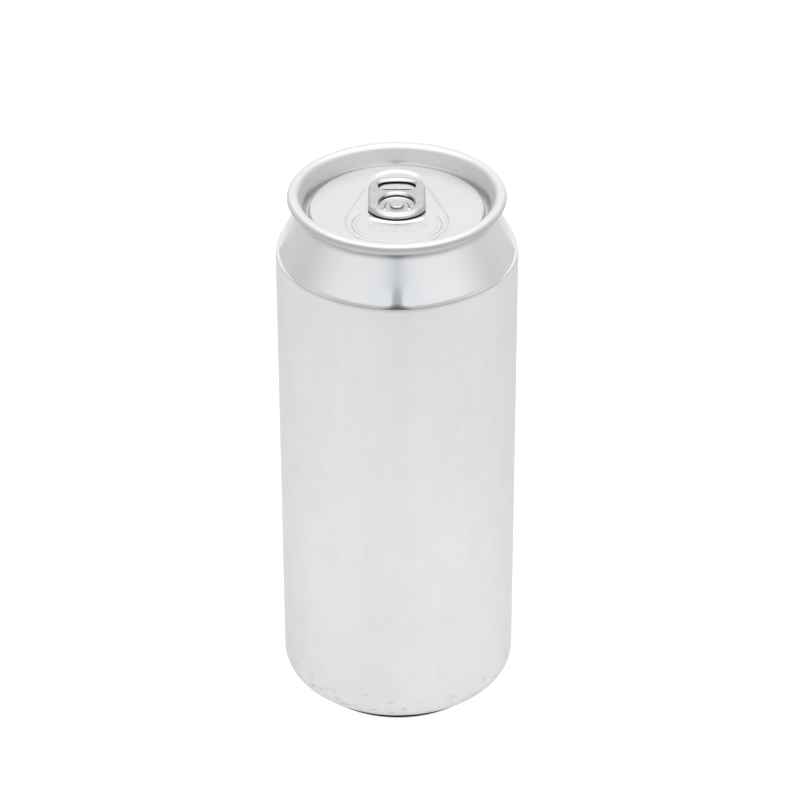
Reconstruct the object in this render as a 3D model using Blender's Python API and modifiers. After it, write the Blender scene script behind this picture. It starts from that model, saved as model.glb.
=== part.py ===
"""Drawn aluminium drinks can, 473 ml, with its tab-opening lid set in the neck.

The can stands on its base ring at the origin, +Z up, and the mouth end of the
lid points to -Y.
"""

import math

import bmesh
import bpy

# Driving dimensions, in metres
HEIGHT = 0.158
ROUND_STEPS = 56
GAP = 0.0003
SHEET = 0.00025

# Can body: outer wall, shoulder and neck
WALL_RADIUS = 0.0331
SHOULDER_Z = 0.13945
SHOULDER_RADIUS = 0.0065
NECK_SLOPE = 29.0
NECK_FILLET = 0.003
PLUG_RADIUS = 0.02645
FLANGE_RADIUS = 0.0283

# Can body: base
BASE_SLOPE = 39.0
BASE_BLEND = 0.0058
RING_OUTER = 0.0241
RING_INNER = 0.0233
RING_OUTER_NOSE = 0.0015
RING_INNER_NOSE = 0.0014
DOME_LEG_RADIUS = 0.0217
DOME_CORNER = 0.002
DOME_RADIUS = 0.042
DOME_HEIGHT = 0.0103

# Lid: panel, countersink, chuck wall and curl, as its upper face shows them
PANEL_DEPTH = 0.0046
PANEL_RADIUS = 0.0233
PANEL_CORNER = 0.0005
COUNTERSINK_RADIUS = 0.0244
COUNTERSINK_CORNER = 0.00055
COUNTERSINK_DEPTH = 0.0066
CHUCK_SLOPE = 15.9
SEAT_RADIUS = 0.0279
SEAT_CORNER = 0.0016
CURL_RADIUS = 0.00105
CURL_OUTER = 0.02972
CURL_END = -80.0

# Lid: pressed forms
DEBOSS_DEPTH = 0.00035
DEBOSS_FRONT_Y = -0.0076
DEBOSS_FRONT_RADIUS = 0.0144
DEBOSS_BACK_Y = 0.0140
DEBOSS_BACK_RADIUS = 0.0072
THUMB_DEPTH = 0.0003
THUMB_BACK_Y = 0.0050
THUMB_BACK_RADIUS = 0.01205
THUMB_END = (0.0038, -0.0083)
THUMB_END_RADIUS = 0.0047
THUMB_END_TURN = 47.0
SCORE_Y = -0.0088
SCORE_HALF_WIDTH = 0.0121
SCORE_HALF_LENGTH = 0.0097
SCORE_START = 142.0
SCORE_END = 392.0
SCORE_DEPTH = 0.0001
SCORE_WIRE = 0.00016

# Rivet that holds the tab
RIVET_STEM = 0.0014
RIVET_HEAD = 0.0020
RIVET_HEAD_HEIGHT = 0.0004
RIVET_STEPS = 20

# Pull tab
TAB_HALF_WIDTH = 0.0078
TAB_NOSE_Y = -0.0067
TAB_NOSE_RADIUS = 0.0085
TAB_NOSE_CORNER = 0.0018
TAB_HEEL_Y = 0.0150
TAB_HEEL_CORNER = 0.0057
TAB_TOP = 0.00135
TAB_EDGE = 0.00069
TAB_WEB = 0.00035
TAB_WEB_DROP = 0.00012
ISLAND_RISE = 0.00045
ISLAND_RADIUS = 0.0032
ISLAND_SHEET = 0.0003
ISLAND_NECK = 0.003
VOID_RADIUS = 0.0052
FINGER_Y = 0.0099
FINGER_HALF_WIDTH = 0.0051
FINGER_BACK = 0.0025
FINGER_FRONT = 0.0025
FINGER_CORNER = 0.003
LIP_RADIUS = 0.00045

# Worked out from them
PANEL_Z = HEIGHT - PANEL_DEPTH
DEBOSS_Z = PANEL_Z - DEBOSS_DEPTH
THUMB_Z = DEBOSS_Z - THUMB_DEPTH
CORE_Z = THUMB_Z - SHEET - GAP
CURL_CENTRE = CURL_OUTER - CURL_RADIUS
ISLAND_Z = DEBOSS_Z + ISLAND_RISE
TAB_TOP_Z = PANEL_Z + TAB_TOP
PAST = 0.001


def clear_scene():
    for item in list(bpy.data.objects):
        bpy.data.objects.remove(item, do_unlink=True)


def new_collection(name):
    collection = bpy.data.collections.new(name)
    bpy.context.scene.collection.children.link(collection)
    return collection


def metal(name, colour, roughness):
    material = bpy.data.materials.new(name)
    material.use_nodes = True
    shader = material.node_tree.nodes["Principled BSDF"]
    shader.inputs["Base Color"].default_value = (*colour, 1.0)
    shader.inputs["Roughness"].default_value = roughness
    shader.inputs["Metallic"].default_value = 1.0
    return material


def add_object(name, data, collection):
    item = bpy.data.objects.new(name, data)
    collection.objects.link(item)
    return item


def as_tool(item):
    """Marks an object that only cuts or joins another one."""
    item.hide_render = True
    item.display_type = "WIRE"
    return item


def on_circle(centre, radius, degrees):
    angle = math.radians(degrees)
    return (centre[0] + radius * math.cos(angle), centre[1] + radius * math.sin(angle))


def arc(centre, radius, start, end, steps):
    """Points of an arc from start to end degrees, both ends kept."""
    return [on_circle(centre, radius, start + (end - start) * i / steps) for i in range(steps + 1)]


def ring(radius, steps):
    """Points all the way round a circle about the axis, none of them twice."""
    return arc((0.0, 0.0), radius, 0.0, 360.0, steps)[:-1]


def through_tips(half_width, bulge, tip_y, steps):
    """Arc from the +X tip to the -X tip of a chord, bulging by bulge towards +Y."""
    size = abs(bulge)
    radius = (half_width ** 2 + size ** 2) / (2.0 * size)
    half_angle = math.degrees(math.asin(half_width / radius))
    side = math.copysign(1.0, bulge)
    centre = (0.0, tip_y + bulge - side * radius)
    return arc(centre, radius, side * (90.0 - half_angle), side * (90.0 + half_angle), steps)


def turned(name, profile, collection):
    """Body of revolution about Z, from a profile of (radius, z) points."""
    mesh = bpy.data.meshes.new(name)
    edges = [(i, i + 1) for i in range(len(profile) - 1)]
    mesh.from_pydata([(radius, 0.0, z) for radius, z in profile], edges, [])
    item = add_object(name, mesh, collection)
    screw = item.modifiers.new("turn", "SCREW")
    screw.steps = ROUND_STEPS
    screw.render_steps = ROUND_STEPS
    screw.use_merge_vertices = True
    screw.merge_threshold = 0.00001
    screw.use_smooth_shade = True
    return item


def mesh_from(item):
    """Replaces an object, as the viewport shows it, by a welded mesh of its own."""
    graph = bpy.context.evaluated_depsgraph_get()
    mesh = bpy.data.meshes.new_from_object(item.evaluated_get(graph))
    shape = bmesh.new()
    shape.from_mesh(mesh)
    bmesh.ops.remove_doubles(shape, verts=shape.verts, dist=0.000001)
    bmesh.ops.recalc_face_normals(shape, faces=shape.faces)
    shape.to_mesh(mesh)
    shape.free()
    name = item.name
    collection = item.users_collection[0]
    place = item.matrix_world.copy()
    bpy.data.objects.remove(item, do_unlink=True)
    welded = add_object(name, mesh, collection)
    welded.matrix_world = place
    return welded


def curve_object(name, points, closed, dimensions, collection):
    curve = bpy.data.curves.new(name, "CURVE")
    curve.dimensions = dimensions
    line = curve.splines.new("POLY")
    line.points.add(len(points) - 1)
    for point, (x, y) in zip(line.points, points):
        point.co = (x, y, 0.0, 1.0)
    line.use_cyclic_u = closed
    return add_object(name, curve, collection)


def plate(name, outline, low, high, collection):
    """Flat outline filled and raised from low to high."""
    item = curve_object(name, outline, True, "2D", collection)
    item.data.fill_mode = "BOTH"
    item.data.extrude = (high - low) / 2.0
    item.location = (0.0, 0.0, (high + low) / 2.0)
    bpy.context.view_layer.update()
    return mesh_from(item)


def wire(name, route, closed, radius, z, sides, collection):
    """Round wire along a flat route at height z."""
    item = curve_object(name, route, closed, "3D", collection)
    item.data.bevel_depth = radius
    item.data.bevel_resolution = sides
    item.data.use_fill_caps = not closed
    item.location = (0.0, 0.0, z)
    bpy.context.view_layer.update()
    return mesh_from(item)


def combine(target, tool, operation):
    boolean = target.modifiers.new(tool.name, "BOOLEAN")
    boolean.operation = operation
    boolean.object = as_tool(tool)
    boolean.solver = "EXACT"


def lid_under_arcs(offset):
    """Lid's lower side from seat to countersink, its upper face moved down by offset."""
    seat = (SEAT_RADIUS, HEIGHT - SEAT_CORNER)
    sink = (COUNTERSINK_RADIUS, HEIGHT - COUNTERSINK_DEPTH + COUNTERSINK_CORNER)
    chuck = 180.0 - CHUCK_SLOPE
    points = arc(seat, SEAT_CORNER - offset, 90.0, chuck, 3)
    points += arc(sink, COUNTERSINK_CORNER + offset, -CHUCK_SLOPE, -180.0, 5)
    return points


def body_profile():
    sheet_below = 2.0 * SHEET + GAP
    top = list(reversed(lid_under_arcs(SHEET + GAP)))
    profile = [(0.0, CORE_Z), (top[0][0], CORE_Z)] + top
    flange_top = HEIGHT - SHEET - GAP
    profile += [(FLANGE_RADIUS, flange_top), (FLANGE_RADIUS, flange_top - SHEET)]
    seat = (SEAT_RADIUS, HEIGHT - SEAT_CORNER)
    flange = arc(seat, SEAT_CORNER - sheet_below, 90.0, 180.0 - CHUCK_SLOPE, 2)
    profile += flange
    lean = math.tan(math.radians(CHUCK_SLOPE))
    profile.append((PLUG_RADIUS, flange[-1][1] - (flange[-1][0] - PLUG_RADIUS) / lean))
    shoulder = arc((WALL_RADIUS - SHOULDER_RADIUS, SHOULDER_Z), SHOULDER_RADIUS, NECK_SLOPE, 0.0, 6)
    fillet_x = PLUG_RADIUS + NECK_FILLET
    foot = on_circle((fillet_x, 0.0), NECK_FILLET, 180.0 + NECK_SLOPE)
    rise = (shoulder[0][0] - foot[0]) / math.tan(math.radians(NECK_SLOPE))
    fillet = (fillet_x, shoulder[0][1] + rise - foot[1])
    profile += arc(fillet, NECK_FILLET, 180.0, 180.0 + NECK_SLOPE, 4)
    profile += shoulder
    return profile + base_profile()


def base_profile():
    nose = arc((RING_OUTER, RING_OUTER_NOSE), RING_OUTER_NOSE, BASE_SLOPE - 90.0, -90.0, 3)
    blend_x = WALL_RADIUS - BASE_BLEND
    blend_end = on_circle((blend_x, 0.0), BASE_BLEND, BASE_SLOPE - 90.0)
    rise = (blend_end[0] - nose[0][0]) * math.tan(math.radians(BASE_SLOPE))
    blend = (blend_x, nose[0][1] + rise - blend_end[1])
    profile = arc(blend, BASE_BLEND, 0.0, BASE_SLOPE - 90.0, 5)
    profile += nose
    profile += arc((RING_INNER, RING_INNER_NOSE), RING_INNER_NOSE, -90.0, -180.0, 3)
    dome_z = DOME_HEIGHT - DOME_RADIUS
    corner_x = DOME_LEG_RADIUS - DOME_CORNER
    reach = DOME_RADIUS - DOME_CORNER
    turn = math.degrees(math.acos(corner_x / reach))
    corner_z = dome_z + reach * math.sin(math.radians(turn))
    profile += arc((corner_x, corner_z), DOME_CORNER, 0.0, turn, 2)
    profile += arc((0.0, dome_z), DOME_RADIUS, turn, 90.0, 5)[1:-1]
    profile.append((0.0, DOME_HEIGHT))
    return profile


def lid_profile():
    panel = (PANEL_RADIUS, PANEL_Z - PANEL_CORNER)
    curl = (CURL_CENTRE, HEIGHT - CURL_RADIUS)
    profile = [(0.0, PANEL_Z)]
    profile += arc(panel, PANEL_CORNER, 90.0, 0.0, 2)
    profile += reversed(lid_under_arcs(0.0))
    profile += arc(curl, CURL_RADIUS, 90.0, CURL_END, 7)
    profile += arc(curl, CURL_RADIUS - SHEET, CURL_END, 90.0, 5)
    profile += lid_under_arcs(SHEET)
    profile += arc(panel, PANEL_CORNER - SHEET, 0.0, 90.0, 1)
    profile.append((0.0, PANEL_Z - SHEET))
    return profile


def deboss_outline(grow):
    """Drop shape: a large arc round the mouth and a small one behind the tab."""
    front = DEBOSS_FRONT_RADIUS + grow
    back = DEBOSS_BACK_RADIUS + grow
    turn = math.degrees(math.asin((front - back) / (DEBOSS_BACK_Y - DEBOSS_FRONT_Y)))
    points = arc((0.0, DEBOSS_FRONT_Y), front, turn, -180.0 - turn, 26)
    points += arc((0.0, DEBOSS_BACK_Y), back, 180.0 - turn, turn, 12)
    return points


def thumb_outline(grow):
    """Hollow of the tear panel: round ends, and a back edge that follows the tab's nose."""
    end = THUMB_END_RADIUS + grow
    x, y = THUMB_END
    tip = on_circle(THUMB_END, THUMB_END_RADIUS, THUMB_END_TURN)
    turn = math.degrees(math.atan2(tip[1] - THUMB_BACK_Y, tip[0]))
    points = arc((x, y), end, -90.0, THUMB_END_TURN, 6)
    points += arc((0.0, THUMB_BACK_Y), THUMB_BACK_RADIUS - grow, turn, -180.0 - turn, 10)[1:-1]
    points += arc((-x, y), end, 180.0 - THUMB_END_TURN, 270.0, 6)
    return points


def score_route():
    points = arc((0.0, 0.0), 1.0, SCORE_START, SCORE_END, 30)
    return [(x * SCORE_HALF_WIDTH, SCORE_Y + y * SCORE_HALF_LENGTH) for x, y in points]


def rivet_profile():
    head_low = ISLAND_Z + ISLAND_SHEET + GAP
    head_high = head_low + RIVET_HEAD_HEIGHT
    rounding = RIVET_HEAD_HEIGHT / 2.0
    profile = [(0.0, head_high)]
    profile += arc((RIVET_HEAD - rounding, head_low + rounding), rounding, 90.0, -90.0, 4)
    profile += [(RIVET_STEM, head_low), (RIVET_STEM, DEBOSS_Z - SHEET / 2.0)]
    profile.append((0.0, DEBOSS_Z - SHEET / 2.0))
    return profile


def tab_outline(inset):
    """Tab's edge: a shallow round nose between two corners, and large corners at the heel."""
    nose = (0.0, TAB_NOSE_Y + TAB_NOSE_RADIUS)
    corner_x = TAB_HALF_WIDTH - TAB_NOSE_CORNER
    reach = TAB_NOSE_RADIUS - TAB_NOSE_CORNER
    turn = math.degrees(math.acos(corner_x / reach))
    corner_y = nose[1] - reach * math.sin(math.radians(turn))
    heel_x = TAB_HALF_WIDTH - TAB_HEEL_CORNER
    heel_y = TAB_HEEL_Y - TAB_HEEL_CORNER
    points = arc((corner_x, corner_y), TAB_NOSE_CORNER - inset, 0.0, -turn, 4)[:-1]
    points += arc(nose, TAB_NOSE_RADIUS - inset, -turn, turn - 180.0, 12)
    points += arc((-corner_x, corner_y), TAB_NOSE_CORNER - inset, turn - 180.0, -180.0, 4)[1:]
    points += arc((-heel_x, heel_y), TAB_HEEL_CORNER - inset, 180.0, 90.0, 7)
    points += arc((heel_x, heel_y), TAB_HEEL_CORNER - inset, 90.0, 0.0, 7)
    return points


def island_outline():
    """Flat tongue round the rivet, joined to the nose."""
    neck_angle = math.degrees(math.asin(ISLAND_NECK / ISLAND_RADIUS))
    points = arc((0.0, 0.0), ISLAND_RADIUS, 270.0 - neck_angle, neck_angle - 90.0, 18)
    front_y = TAB_NOSE_Y + 2.0 * TAB_EDGE
    points += [(ISLAND_NECK, front_y), (-ISLAND_NECK, front_y)]
    return points


def finger_outline():
    """Slot behind the rivet: curved at the back, straight in front between two corners."""
    points = through_tips(FINGER_HALF_WIDTH, FINGER_BACK, FINGER_Y, 10)
    corner_y = FINGER_Y - FINGER_FRONT + FINGER_CORNER
    tip_turn = math.degrees(math.asin((corner_y - FINGER_Y) / FINGER_CORNER))
    corner_x = FINGER_HALF_WIDTH - FINGER_CORNER * math.cos(math.radians(tip_turn))
    points += arc((-corner_x, corner_y), FINGER_CORNER, 180.0 + tip_turn, 270.0, 4)[1:]
    points += arc((corner_x, corner_y), FINGER_CORNER, 270.0, 360.0 - tip_turn, 4)[:-1]
    return points


def make_body(collection):
    body = turned("can_body", body_profile(), collection)
    body.data.materials.append(metal("body_metal", (0.78, 0.78, 0.79), 0.38))
    return body


def make_lid(collection, tools):
    lid = turned("lid", lid_profile(), collection)
    lid.data.materials.append(metal("lid_metal", (0.82, 0.82, 0.82), 0.28))
    overlap = SHEET / 2.0
    floor = plate("deboss_floor", deboss_outline(SHEET), DEBOSS_Z - SHEET, PANEL_Z - overlap, tools)
    combine(lid, floor, "UNION")
    floor = plate("thumb_floor", thumb_outline(SHEET), THUMB_Z - SHEET, DEBOSS_Z - overlap, tools)
    combine(lid, floor, "UNION")
    combine(lid, plate("deboss_cut", deboss_outline(0.0), DEBOSS_Z, PANEL_Z + PAST, tools), "DIFFERENCE")
    combine(lid, plate("thumb_cut", thumb_outline(0.0), THUMB_Z, PANEL_Z + PAST, tools), "DIFFERENCE")
    score_z = DEBOSS_Z + SCORE_WIRE - SCORE_DEPTH
    combine(lid, wire("score_cut", score_route(), False, SCORE_WIRE, score_z, 1, tools), "DIFFERENCE")
    rivet = turned("rivet", rivet_profile(), tools)
    rivet.modifiers["turn"].steps = RIVET_STEPS
    rivet.modifiers["turn"].render_steps = RIVET_STEPS
    combine(lid, rivet, "UNION")
    return lid


def make_tab(collection, tools):
    web_high = TAB_TOP_Z - TAB_WEB_DROP
    web_low = web_high - TAB_WEB
    tab = plate("pull_tab", tab_outline(TAB_EDGE), web_low, web_high, collection)
    tab.data.materials.append(metal("tab_metal", (0.74, 0.74, 0.74), 0.3))
    void = plate("void_cut", ring(VOID_RADIUS, 24), web_low - PAST, web_high + PAST, tools)
    combine(tab, void, "DIFFERENCE")
    roll_z = TAB_TOP_Z - TAB_EDGE
    combine(tab, wire("edge_roll", tab_outline(TAB_EDGE), True, TAB_EDGE, roll_z, 1, tools), "UNION")
    island = plate("island", island_outline(), ISLAND_Z, ISLAND_Z + ISLAND_SHEET, tools)
    combine(tab, island, "UNION")
    finger = plate("finger_cut", finger_outline(), web_low - PAST, web_high + PAST, tools)
    combine(tab, finger, "DIFFERENCE")
    lip_z = TAB_TOP_Z - LIP_RADIUS
    heel_lip = through_tips(FINGER_HALF_WIDTH, FINGER_BACK, FINGER_Y + LIP_RADIUS, 8)
    combine(tab, wire("heel_lip", heel_lip, False, LIP_RADIUS, lip_z, 1, tools), "UNION")
    void_lip = arc((0.0, 0.0), VOID_RADIUS + LIP_RADIUS, 25.0, 155.0, 8)
    combine(tab, wire("void_lip", void_lip, False, LIP_RADIUS, lip_z, 1, tools), "UNION")
    hole = ring(RIVET_STEM + GAP, RIVET_STEPS)
    combine(tab, plate("rivet_hole", hole, ISLAND_Z - PAST, TAB_TOP_Z, tools), "DIFFERENCE")
    tab.data.shade_smooth()
    return tab


def main():
    clear_scene()
    parts = new_collection("aluminium_drinks_can")
    tools = new_collection("cutters")
    stand = add_object("stand_point", None, parts)
    for item in (make_body(parts), make_lid(parts, tools), make_tab(parts, tools)):
        item.parent = stand


main()
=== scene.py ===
import math

import bmesh
import bpy
from mathutils import Matrix, Vector


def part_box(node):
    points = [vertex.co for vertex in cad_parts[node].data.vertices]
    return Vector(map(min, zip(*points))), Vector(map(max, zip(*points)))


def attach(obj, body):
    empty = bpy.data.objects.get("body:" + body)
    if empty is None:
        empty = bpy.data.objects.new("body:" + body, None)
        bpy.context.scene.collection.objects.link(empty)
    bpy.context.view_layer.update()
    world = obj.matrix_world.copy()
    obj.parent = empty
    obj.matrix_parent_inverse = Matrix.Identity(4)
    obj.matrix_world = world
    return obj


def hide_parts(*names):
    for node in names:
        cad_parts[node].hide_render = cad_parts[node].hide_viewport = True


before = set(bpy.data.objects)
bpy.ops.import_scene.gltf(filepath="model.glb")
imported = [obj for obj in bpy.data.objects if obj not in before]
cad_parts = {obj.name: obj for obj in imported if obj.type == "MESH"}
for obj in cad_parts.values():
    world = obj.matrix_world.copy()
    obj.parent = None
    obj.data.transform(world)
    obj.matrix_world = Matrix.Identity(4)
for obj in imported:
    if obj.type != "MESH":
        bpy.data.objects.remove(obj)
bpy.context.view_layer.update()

# ---------------------------------------------------------------------------
# Sizes, in metres. The solids give the overall ones.
# ---------------------------------------------------------------------------
MM = 0.001
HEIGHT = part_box("lid")[1][2]
WALL_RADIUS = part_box("can_body")[1][0]
CURL_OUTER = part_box("lid")[1][0]
TAB_TOP_Z = HEIGHT - 3.25 * MM
TAB_HALF_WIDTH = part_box("pull_tab")[1][0]
TAB_NOSE_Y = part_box("pull_tab")[0][1]
TAB_HEEL_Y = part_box("pull_tab")[1][1]
SHEET = 0.25 * MM
GAP = 0.3 * MM
MERGE = 1e-7

# Body
BODY_STEPS = 256
SHOULDER_Z = 139.45 * MM
SHOULDER_RADIUS = 6.5 * MM
NECK_SLOPE = 29.0
NECK_FILLET = 4.0 * MM
PLUG_RADIUS = 26.45 * MM
FLANGE_RADIUS = 28.3 * MM
CREASE_Z = 140.75 * MM
BASE_SLOPE = 35.0
BASE_BLEND = 5.8 * MM
RING_OUTER = 24.1 * MM
RING_INNER = 23.3 * MM
RING_OUTER_NOSE = 1.5 * MM
RING_INNER_NOSE = 1.4 * MM
DOME_LEG_RADIUS = 21.7 * MM
DOME_CORNER = 2.0 * MM
DOME_RADIUS = 42.0 * MM
DOME_HEIGHT = 10.3 * MM

# Body: heights where its finish changes, and where painted shade and painted light lie
CREASE_BLEND = 0.1 * MM
CREASE_SHADE = 0.22 * MM
SCUFFED_BELOW = (8.0 * MM, 18.0 * MM)
FOOT_SHADE_FROM = (2.6 * MM, 3.8 * MM)
FOOT_SHADE_TO = (4.7 * MM, 5.4 * MM)
# Painted light: the wall is lighter below the first height, less so above the second
WALL_PAINTED_LIGHT = (60.0 * MM, 138.0 * MM)
NECK_DULLS = (142.5 * MM, 148.5 * MM)
NECK_SHADE = (HEIGHT - 6.4 * MM, HEIGHT - 4.0 * MM)

# Lid
LID_STEPS = 320
PANEL_Z = HEIGHT - 4.6 * MM
PANEL_RADIUS = 23.3 * MM
PANEL_CORNER = 0.5 * MM
COUNTERSINK_RADIUS = 24.4 * MM
COUNTERSINK_CORNER = 0.55 * MM
COUNTERSINK_Z = HEIGHT - 6.6 * MM
CHUCK_SLOPE = 15.9
SEAT_RADIUS = 27.9 * MM
SEAT_CORNER = 1.6 * MM
CURL_RADIUS = 1.05 * MM
CURL_END = -80.0

# Lid: where its finish changes, and where painted shade darkens the curl's outer flank
CHUCK_BRIGHT = (PANEL_Z + 0.3 * MM, PANEL_Z + 1.2 * MM)
CHUCK_FADE = (HEIGHT - 1.0 * MM, HEIGHT - 0.2 * MM)
CURL_SHADE_RADIUS = (28.3 * MM, 28.5 * MM)
CURL_SHADE_Z = (HEIGHT - 0.8 * MM, HEIGHT - 0.45 * MM)

# Lid: pressed forms, in the panel's plane
DROP_DEPTH = 0.35 * MM
DROP_FLANK = 1.5 * MM
DROP_FRONT = (-7.6 * MM, 14.4 * MM)
DROP_BACK = (13.2 * MM, 8.1 * MM)
THUMB_DEPTH = 0.3 * MM
THUMB_FRONT_SHARE = 0.35
THUMB_FLANK = (-1.35 * MM, 0.1 * MM)
THUMB_BACK = (5.0 * MM, 11.85 * MM)
THUMB_END = (3.8 * MM, -8.3 * MM)
THUMB_END_RADIUS = 4.7 * MM
THUMB_BLEND = 0.5 * MM
SCORE_Y = -8.8 * MM
SCORE_SIZE = (12.1 * MM, 9.7 * MM)
SCORE_DEPTH = 0.08 * MM
SCORE_WIDTH = 0.14 * MM
SCORE_OPEN = (32.0, 142.0)
SCORE_FADE = 3.0
RELIEF_INSET = 1.1 * MM
RELIEF_DEPTH = 0.03 * MM
RELIEF_WIDTH = 0.16 * MM
FORMS_Y = -8.6 * MM

# Lid: painted shade along the pressed lines, in the score and its relief groove and down the drop's flank
SCORE_LINE_WIDTH = 0.15 * MM
DROP_LINE_WIDTH = 0.3 * MM
DROP_LINE_INSET = 0.5 * MM
DROP_LINE_SIDES = (7.0 * MM, 10.0 * MM)
DROP_LINE_END = (9.0 * MM, 13.0 * MM)

# Rivet
RIVET_STEPS = 96
RIVET_HEAD = 1.95 * MM
RIVET_EDGE = 0.34 * MM
RIVET_STEM = 1.4 * MM
RIVET_DISH = 0.04 * MM
RIVET_UNDERCUT = 0.62 * MM
RIVET_FILLET = 0.1 * MM
RIVET_TOP_Z = TAB_TOP_Z - 0.25 * MM

# Rise under the finger slot
PAD_FRONT = 8.0 * MM
PAD_BACK = 13.6 * MM
PAD_HALF_WIDTH = 6.6 * MM
PAD_RISE = 0.78 * MM
PAD_SINK = 0.06 * MM
PAD_SHEET = 0.1 * MM

# Tab
TAB_SHEET = 0.1 * MM
TAB_HEM = 0.12 * MM
TAB_DROP = 1.1 * MM
TAB_DEPTH = 1.55 * MM
TAB_ROLL = 0.65 * MM
TAB_NOSE_ROLL = 1.45 * MM
TAB_NOSE_RADIUS = 8.5 * MM
TAB_NOSE_CORNER = 1.8 * MM
TAB_NOSE_BLEND = (0.0, 3.5 * MM)
TAB_NOSE_TUCK = (2.6 * MM, 4.5 * MM)
TAB_HEEL_CORNER = 5.7 * MM
FINGER_Y = 9.9 * MM
FINGER_HALF_WIDTH = 5.1 * MM
FINGER_BACK = 2.5 * MM
FINGER_BACK_CORNER = 2.8 * MM
FINGER_BOW = 16.0 * MM
FINGER_CORNER = 2.2 * MM
FINGER_STRAIGHT = 0.05 * MM
FINGER_EDGE = 0.3 * MM
FINGER_EDGE_START = 0.35 * MM
FINGER_WALL = (0.4 * MM, 0.55 * MM)
FINGER_LIP_BLEND = (FINGER_Y - 0.1 * MM, FINGER_Y + 0.6 * FINGER_BACK)
FINGER_SHADE = (FINGER_Y + 0.2 * MM, FINGER_Y + 1.6 * MM)
VOID_Y = 0.45 * MM
VOID_RADIUS = 5.0 * MM
VOID_FRONT_TURN = 40.0
VOID_FRONT_INSET = 1.85 * MM
VOID_BEAD_WIDTH = (0.2 * MM, 1.4 * MM)
VOID_BEAD_WIDENS = (3.7 * MM, 5.5 * MM)
VOID_BEAD_FALL = (0.3 * MM, 0.9 * MM)
VOID_BEAD_DEEPENS = (0.5 * MM, 3.8 * MM)
VOID_LEDGE = 1.22 * MM
VOID_SHADE = (2.0 * MM, 3.4 * MM)
ISLAND_STEPS = 160
ISLAND_RINGS = 36
ISLAND_Z = TAB_TOP_Z - 0.85 * MM
ISLAND_RADIUS = 3.15 * MM
ISLAND_REACH = 6.2 * MM
ISLAND_NOSE_INSET = 1.0 * MM
ISLAND_FRONT_SINES = (0.2, 0.62)
ISLAND_LIP_WIDTH = 0.3 * MM
ISLAND_LIP_FALL = 0.12 * MM
ISLAND_HOLE = RIVET_STEM + 0.1 * MM
ISLAND_CORNERS = ((-3.3 * MM, -2.1 * MM), (3.4 * MM, -1.9 * MM))
ISLAND_CORNER_RISE = 0.3 * MM
ISLAND_CORNER_WIDTH = 0.6 * MM
COIN_RADIUS = 2.45 * MM
COIN_DEPTH = 0.06 * MM
COIN_WIDTH = 0.2 * MM

# Nose roll, from the web to the wall: millimetres in from the edge and down
NOSE_ROLL = (
    (1.45, 0.0), (1.33, 0.015), (1.2, 0.05), (1.05, 0.11), (0.9, 0.185), (0.75, 0.275), (0.6, 0.375),
    (0.45, 0.485), (0.3, 0.61), (0.18, 0.73), (0.08, 0.86), (0.02, 0.98), (0.0, 1.1),
)

# Finger slot's lip at the back, from the web down: millimetres in from the edge and down
FINGER_LIP = (
    (1.35, 0.0), (1.22, 0.01), (1.05, 0.08), (0.88, 0.19), (0.7, 0.32), (0.57, 0.42), (0.49, 0.5),
    (0.45, 0.56), (0.43, 0.62), (0.4, 0.85), (0.6, 1.0),
)
LIP_SHADE = (0.55 * MM, 0.7 * MM)

# Wall and ledge under the void's bead: millimetres into the void, and down from the bead or the ledge
VOID_WALL_ROWS = ((0.01, 0.08), (0.04, 0.2))
VOID_LEDGE_ROWS = ((0.25, 0.0), (0.45, 0.07), (1.1, 0.17), (1.8, 0.2))

# Names of the values that the sheets' points carry for their painted shade
PAINTED_LINE_SHADE = "lined"
TUCKED = "tucked"

# Stage
FLOOR_HALF = 0.55
CONTACT_SHADOW = (25.8 * MM, 26.4 * MM)
CAMERA_PLACE = (0.0007, -0.8149, 0.6080)
CAMERA_DOWN = 32.36
CAMERA_ROLL = -0.156
CAMERA_SENSOR = 36.0
CAMERA_LENS = 155.05


# ---------------------------------------------------------------------------
# Outlines and profiles
# ---------------------------------------------------------------------------
def mixed(start, end, share):
    return start + (end - start) * share


def on_circle(centre, radius, degrees):
    angle = math.radians(degrees)
    return (centre[0] + radius * math.cos(angle), centre[1] + radius * math.sin(angle))


def arc(centre, radius, start, end, steps):
    """Points of an arc from start to end degrees, both ends kept."""
    return [on_circle(centre, radius, mixed(start, end, i / steps)) for i in range(steps + 1)]


def smooth(value, low, high):
    """0 below low, 1 above high, eased between them."""
    t = min(max((value - low) / (high - low), 0.0), 1.0)
    return t * t * (3.0 - 2.0 * t)


def lid_under_arcs(offset):
    """Seat and countersink arcs of the lid, its upper face moved down by offset."""
    seat = (SEAT_RADIUS, HEIGHT - SEAT_CORNER)
    sink = (COUNTERSINK_RADIUS, COUNTERSINK_Z + COUNTERSINK_CORNER)
    points = arc(seat, SEAT_CORNER - offset, 90.0, 180.0 - CHUCK_SLOPE, 8)
    points += arc(sink, COUNTERSINK_CORNER + offset, -CHUCK_SLOPE, -180.0, 10)
    return points


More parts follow.
